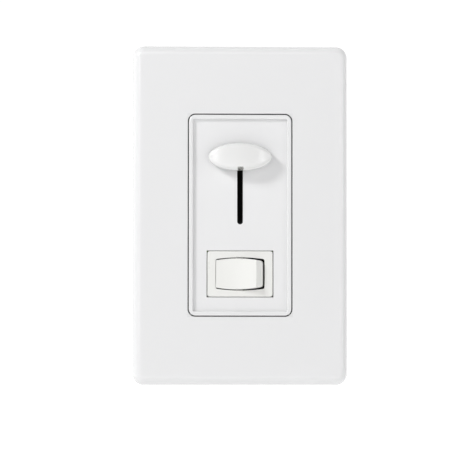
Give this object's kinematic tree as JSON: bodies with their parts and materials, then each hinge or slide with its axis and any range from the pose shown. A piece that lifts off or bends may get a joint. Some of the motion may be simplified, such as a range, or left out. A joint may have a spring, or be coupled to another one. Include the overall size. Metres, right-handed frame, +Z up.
{
  "type": "slide dimmer switch",
  "caption": "Wall dimmer with an oval slide knob over a vertical slot and a rocker switch, in a screwless rectangular wall plate with a raised lip",
  "frame": {"origin": "centre of the wall plate on the wall's surface, midway between the two box screws", "axes": "+X right, +Z up, +Y into the wall; the front faces -Y"},
  "size_m": [0.0752, 0.0383, 0.119],
  "materials": {
    "white_plate": "moulded white polycarbonate, satin gloss",
    "white_panel": "moulded white polycarbonate, fine satin",
    "white_knob": "polished white knob",
    "cream_rocker": "slightly warm white nylon, satin",
    "black_housing": "moulded black phenolic, fine texture",
    "black_foam": "closed-cell foam",
    "yoke_metal": "brushed sheet",
    "zinc_steel": "zinc plated",
    "green_steel": "green plated",
    "brass": "brass, lightly tarnished",
    "black_steel": "black oxide",
    "copper": "copper alloy spring strip",
    "silver_contact": "silver contact",
    "natural_nylon": "natural nylon",
    "board_green": "glass-epoxy laminate with solder mask",
    "track_brown": "paper laminate with carbon track",
    "fibre": "vulcanised fibre",
    "silicone_pad": "thermal silicone",
    "epoxy_black": "moulded epoxy",
    "ferrite_paint": "painted iron powder core",
    "enamelled_wire": "enamelled copper wire",
    "capacitor_film": "yellow moulded case",
    "capacitor_red": "dipped film capacitor",
    "resistor_tan": "coated resistor body",
    "glass_blue": "coated glass diode body",
    "varistor_blue": "epoxy-coated disc"
  },
  "bodies": {
    "dimmer": {"cover_plate": "white_plate", "mounting_subplate": "white_plate", "front_panel": "white_panel", "dust_seal": "black_foam", "switch_frame": "cream_rocker", "subplate_screws": "zinc_steel", "device_screws": "zinc_steel", "retaining_washers": "fibre", "yoke": "yoke_metal", "ground_screw": "green_steel", "rear_housing": "black_housing", "housing_screws": "zinc_steel", "pot_case": "zinc_steel", "resistive_track": "track_brown", "pot_pins": "silver_contact", "pot_screws": "zinc_steel", "switch_base": "black_housing", "fixed_contacts": "silver_contact", "common_terminal": "copper", "left_terminal": "copper", "right_terminal": "copper", "circuit_board": "board_green", "triac_body": "epoxy_black", "triac_tab": "silver_contact", "insulating_pad": "silicone_pad", "triac_screw": "zinc_steel", "triac_nut": "zinc_steel", "choke_core": "ferrite_paint", "choke_winding": "enamelled_wire", "filter_capacitor": "capacitor_film", "timing_capacitors": "capacitor_red", "resistors": "resistor_tan", "diac": "glass_blue", "varistor": "varistor_blue", "terminal_tabs": "brass", "wire_clamps": "brass", "terminal_screws": "brass", "common_screw": "black_steel"},
    "slider": {"slider_knob": "white_knob", "slider_lever": "zinc_steel", "wiper_carriage": "natural_nylon", "wiper_contacts": "copper"},
    "rocker": {"rocker_button": "cream_rocker", "rocker_plunger": "natural_nylon", "plunger_spring": "zinc_steel"},
    "seesaw": {"contact_lever": "copper", "lever_contacts": "silver_contact"}
  },
  "joints": [
    {"name": "slider_slide", "type": "slide", "parent": "dimmer", "child": "slider", "axis": [0, 0, 1], "range_m": [-0.02, 0]},
    {"name": "rocker_pivot", "type": "hinge", "parent": "dimmer", "child": "rocker", "pos_m": [0, 0.00052, -0.0206], "axis": [0, 0, 1], "range_deg": [0, 20]},
    {"name": "seesaw_pivot", "type": "hinge", "parent": "dimmer", "child": "seesaw", "pos_m": [0, 0.0067, -0.0206], "axis": [0, 0, 1], "range_deg": [-16.2, 0.2]}
  ],
  "couplings": [
    {"joint": "seesaw_pivot", "follows": "rocker_pivot", "ratio": -0.8}
  ]
}
